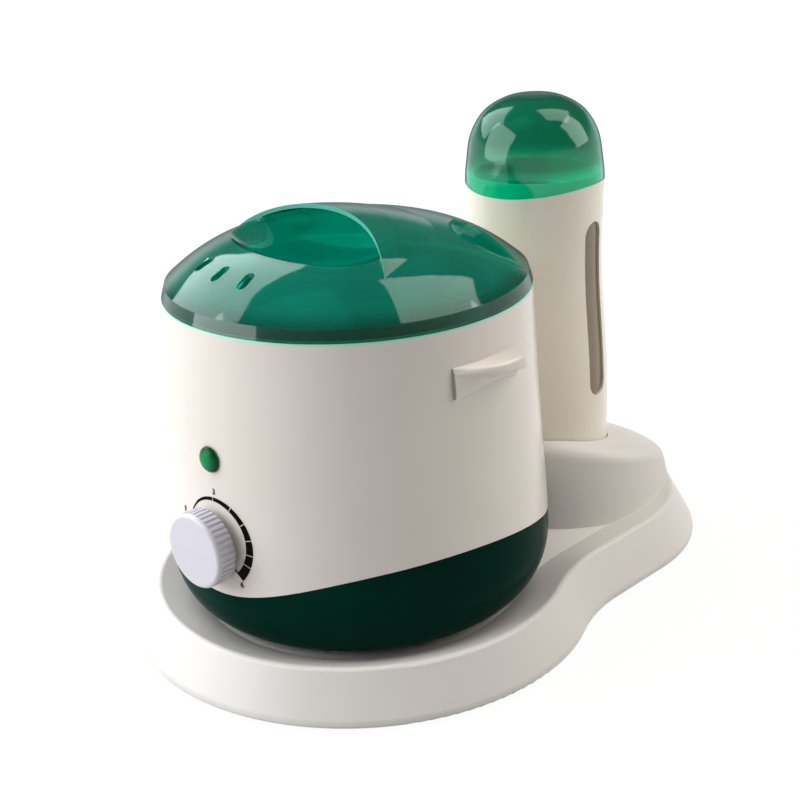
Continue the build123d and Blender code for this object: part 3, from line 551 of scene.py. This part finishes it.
def makeDialBand():
    # A circle, extruded into a flat ring; the sector without print is deleted
    clearSelection()
    start, end, radius, steps = dial["startAngle"], dial["endAngle"], dial["radius"], dial["steps"]
    bpy.ops.mesh.primitive_circle_add(
        vertices=steps, radius=radius * mm, location=dialPoint(0, 0), rotation=dial["facing"]
    )
    band = namePiece("dialBand")
    settle(band)
    editAll(band, bpy.ops.mesh.extrude_edges_move)
    for i, vertex in enumerate(band.data.vertices):
        angle = dialAngle(vertex.co)
        if angle > dial["wrapAngle"]:
            angle -= 360
        half = bandHalf(max(angle, end))
        vertex.co = dialPoint(angle, radius + (half if i < steps else -half))
    deleteFaces(band, lambda middle: not end <= dialAngle(middle) <= start)
    editAll(band, bpy.ops.mesh.normals_make_consistent, inside=False)
    return band


def makeBar(name, angle, inner, outer, width):
    # A flat bar that points away from the knob
    clearSelection()
    bpy.ops.mesh.primitive_plane_add(
        size=1, location=dialPoint(angle, (inner + outer) / 2),
        rotation=(math.pi / 2, -math.radians(angle), 0),
    )
    bar = namePiece(name)
    bar.scale = ((outer - inner) * mm, width * mm, 1)
    settle(bar)
    editAll(bar, bpy.ops.mesh.subdivide, number_cuts=3)
    return bar


def makeTick(angle):
    past = bandHalf(angle) + dial["tickPast"]
    return makeBar("tick", angle, dial["radius"] - past, dial["radius"] + past, dial["tickWidth"])


def makeNumber(text, angle, radius):
    clearSelection()
    bpy.ops.object.text_add(location=dialPoint(angle, radius), rotation=dial["facing"])
    number = bpy.context.object
    number.data.body = text
    number.data.size = dial["numberSize"] * mm
    number.data.align_x = "CENTER"
    number.data.align_y = "CENTER"
    number.data.offset = dial["boldness"] * mm
    bpy.ops.object.convert(target="MESH")
    settle(number)
    return number


band = makeDialBand()
layOn(band, "pot_shell", dial["lift"] * mm)
dress(band, "dialInk", "pot")

ticks = joinPieces([makeTick(angle) for angle in dial["tickAngles"]], "dialTicks")
layOn(ticks, "pot_shell", (dial["lift"] + dial["tickLift"]) * mm)
dress(ticks, "bodyWhite", "pot")

endMark = makeBar(
    "endMark", dial["endAngle"], dial["radius"] - dial["endInner"],
    dial["radius"] + dial["endOuter"], dial["endWidth"],
)
numbers = [makeNumber(text, *place) for text, place in dial["numbers"].items()]
marks = joinPieces([endMark] + numbers, "dialNumbers")
layOn(marks, "pot_shell", dial["lift"] * mm)
dress(marks, "dialInk", "pot")
print("dial made")


# Side grips: a flap that grows into a ledge, hollow under it for the fingertips. Each station is
# (y from the pot's axis, ledge's reach, its thickness, whole height, flap's reach), in
# millimetres. The shell's wall is at rimRadius at rimZ, and flares by flare below that
grip = {
    "turn": math.radians(-1), "top": 150.0, "drop": 0.3, "length": 40, "buried": -1.2,
    "rimRadius": 84.5, "rimZ": 166, "flare": 0.056, "smoothAngle": 50,
    "slitShadeY": -19.3, "slitShadeNormal": -0.8,
    "stations": (
        (-20.0, -1.2, 3.4, 14.0, -1.2), (-20.0, 1.2, 3.4, 14.0, 1.2),
        (-19.2, 1.5, 3.4, 14.0, 1.3), (-14, 3.2, 4.4, 13.2, 1.1), (-8, 5.2, 5.4, 12.2, 0.8),
        (-2, 6.7, 6.2, 11.6, 0.4), (4, 7.6, 6.6, 11.4, 0.2), (10, 8.1, 7.0, 11.8, 0.2),
        (15, 8.2, 7.4, 13.0, 0.4), (18, 7.9, 7.6, 13.8, 0.8), (19.6, 7.0, 7.6, 13.8, 0.8),
        (20.3, 5.0, 7.2, 13.4, 0.4), (20.4, -1.2, 7.2, 13.2, -1.2),
    ),
}


def gripSection(reach, thick, height, flap):
    # Points of one section as (proud of the wall, below the top)
    low = height - thick
    return (
        (grip["buried"], 0), (0.3, 0), (reach * 0.5, 0.9), (reach - 0.9, 1.4), (reach, 2.6),
        (reach, thick - 0.6), (reach - 0.6, thick + 0.3),
        (flap + (reach - flap) * 0.6, thick + low * 0.1),
        (flap + (reach - flap) * 0.15, thick + low * 0.45),
        (flap, height - 1), (flap * 0.5, height), (grip["buried"], height),
    )


def gripPoint(y, reach, proud, below):
    # A point of the section at y, beside the shell's flaring wall
    z = grip["top"] - grip["drop"] * (y - grip["stations"][0][0]) / grip["length"] - below
    radius = grip["rimRadius"] + (grip["rimZ"] - z) * grip["flare"]
    x = math.sqrt(radius ** 2 - y ** 2) + max(min(proud, reach), grip["buried"])
    cosine, sine = math.cos(grip["turn"]), math.sin(grip["turn"])
    return (x * cosine - y * sine) * mm, potY + (x * sine + y * cosine) * mm, z * mm


def makeGrip(name):
    clearSelection()
    stations = grip["stations"]
    sections = [gripSection(*station[1:]) for station in stations]
    across, along = len(sections[0]) - 1, len(stations) - 1
    bpy.ops.mesh.primitive_grid_add(x_subdivisions=across, y_subdivisions=along, size=1)
    piece = namePiece(name)
    for vertex in piece.data.vertices:
        column, row = round((vertex.co.x + 0.5) * across), round((vertex.co.y + 0.5) * along)
        y, reach = stations[row][:2]
        vertex.co = gripPoint(y, reach, *sections[row][column])
    applyModifier(piece, "SUBSURF", levels=2, render_levels=2)
    editAll(piece, bpy.ops.mesh.remove_doubles, threshold=0.001 * mm)
    bpy.ops.object.shade_smooth_by_angle(angle=math.radians(grip["smoothAngle"]))
    return piece


def finishGrip(piece, node):
    # The faces at the thin front end get a darker finish, painted shade for the dark slit there
    editAll(piece, bpy.ops.mesh.normals_make_consistent, inside=False)
    dress(piece, "bodyWhite", "pot")
    piece.data.materials.append(finishes["gripSlitShade"])
    front = potY + grip["slitShadeY"] * mm
    for face in piece.data.polygons:
        if face.normal.y < grip["slitShadeNormal"] and face.center.y < front:
            face.material_index = 1
    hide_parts(node)


rightGrip = makeGrip("sideGripRight")
leftGrip = bpy.data.objects.new("sideGripLeft", rightGrip.data.copy())
bpy.context.collection.objects.link(leftGrip)
leftGrip.scale = (-1, 1, 1)
settle(leftGrip)
finishGrip(rightGrip, "side_grip_right")
finishGrip(leftGrip, "side_grip_left")
print("grips made")


# Stage: a white floor, a camera at the photograph's angle and soft lamps
view = {
    "target": (0, -0.048, 0.100), "slide": (0.0216, 0.0076), "distance": 0.708,
    "azimuth": 44.7, "elevation": 21.5, "roll": -2.5, "lens": 67.5, "sensor": 36,
}
lamps = {
    "frontLamp": {
        "place": (-0.75, -1.15, 0.78), "size": (1.4, 1.4), "power": 24, "colour": (0.98, 0.995, 1),
    },
    "sideLamp": {
        "place": (-1.05, -0.05, 0.95), "size": (1.0, 0.9), "power": 9, "colour": (0.98, 0.995, 1),
    },
    "rightLamp": {
        "place": (0.93, 0.93, 0.92), "size": (0.9, 1.1), "power": 12.5, "colour": (1, 0.95, 0.89),
    },
    "backLamp": {
        "place": (0.27, 0.58, 1.3), "size": (0.75, 0.75), "power": 5, "colour": (1, 0.96, 0.91),
    },
    "topLamp": {
        "place": (-0.25, -0.45, 1.6), "size": (0.9, 0.9), "power": 7, "colour": (1, 0.99, 0.98),
        "mirrored": False,
    },
}
lampAim = Vector((0, 0, 0.09))
backdrop = {
    "rays": ("Is Camera Ray", "Is Glossy Ray", "Is Transmission Ray"),
    "floorSize": 10, "floorGlow": 1.06, "nearShare": 0.9, "near": 0.35, "far": 1.2,
    "firstPaint": (0.45, 0.45, 0.45), "secondPaint": (0.47, 0.47, 0.47), "paintGrain": 0.2,
    "whiteTo": 0.05, "skyFrom": 0.3, "sky": (1.0, 0.96, 0.91), "skyStrength": 0.12,
}


def addCamera():
    angles = (view["azimuth"], view["elevation"], view["roll"])
    azimuth, elevation, roll = (math.radians(angle) for angle in angles)
    level = math.cos(elevation)
    back = Vector((math.sin(azimuth) * level, -math.cos(azimuth) * level, math.sin(elevation)))
    right = Vector((math.cos(azimuth), math.sin(azimuth), 0))
    up = back.cross(right)
    across, rise = view["slide"]
    place = Vector(view["target"]) + right * across + up * rise + back * view["distance"]
    tiltedRight = right * math.cos(roll) + up * math.sin(roll)
    tiltedUp = up * math.cos(roll) - right * math.sin(roll)
    turn = Matrix((tiltedRight, tiltedUp, back)).transposed().to_4x4()
    bpy.ops.object.camera_add()
    camera = bpy.context.object
    camera.name = "photoCamera"
    camera.matrix_world = Matrix.Translation(place) @ turn
    camera.data.lens, camera.data.sensor_width = view["lens"], view["sensor"]
    camera.data.clip_start = 0.01
    bpy.context.scene.camera = camera


def addLamp(name, look):
    bpy.ops.object.light_add(type="AREA", location=look["place"])
    lamp = bpy.context.object
    lamp.name = name
    lamp.data.shape = "RECTANGLE"
    lamp.data.size, lamp.data.size_y = look["size"]
    lamp.data.energy, lamp.data.color = look["power"], look["colour"]
    lamp.rotation_euler = (lampAim - Vector(look["place"])).to_track_quat("-Z", "Y").to_euler()
    lamp.visible_glossy = look.get("mirrored", True)


def addFloor():
    clearSelection()
    bpy.ops.mesh.primitive_plane_add(size=backdrop["floorSize"], location=(0, 0, 0))
    floor = namePiece("floor")
    finish = Finish("floorWhite")
    grain = finish.noise(backdrop["paintGrain"], 3)
    away = finish.ramp(finish.length(finish.place()), backdrop["near"], backdrop["far"])
    near = backdrop["nearShare"]
    share = finish.lightPath(*backdrop["rays"]) * (near + (1 - near) * away)
    paint = finish.node("ShaderNodeBsdfDiffuse", {}, {
        "Color": finish.mix(grain, backdrop["firstPaint"], backdrop["secondPaint"]),
    })
    glow = finish.node("ShaderNodeEmission", {}, {
        "Color": (1, 1, 1), "Strength": backdrop["floorGlow"],
    })
    floor.data.materials.append(finish.finishWith(finish.blendShaders(share, paint, glow)))


def addWorld():
    # White up to a little over the horizon, and a dim soft sky above it
    world = bpy.data.worlds.new("studio")
    bpy.context.scene.world = world
    finish = Finish("studio", world)
    height = finish.part(finish.node("ShaderNodeTexCoord"), "Z")
    low = 1 - finish.ramp(height, backdrop["whiteTo"], backdrop["skyFrom"])
    sky = finish.node("ShaderNodeBackground", {}, {
        "Color": backdrop["sky"], "Strength": backdrop["skyStrength"],
    })
    white = finish.node("ShaderNodeBackground", {}, {"Color": (1, 1, 1), "Strength": 1.0})
    share = finish.lightPath(*backdrop["rays"]) * low
    finish.finishWith(finish.blendShaders(share, sky, white), "ShaderNodeOutputWorld")


clearSelection()
addCamera()
addFloor()
addWorld()
for name, look in lamps.items():
    addLamp(name, look)
bpy.context.scene.view_settings.view_transform = "Standard"
print("stage set")
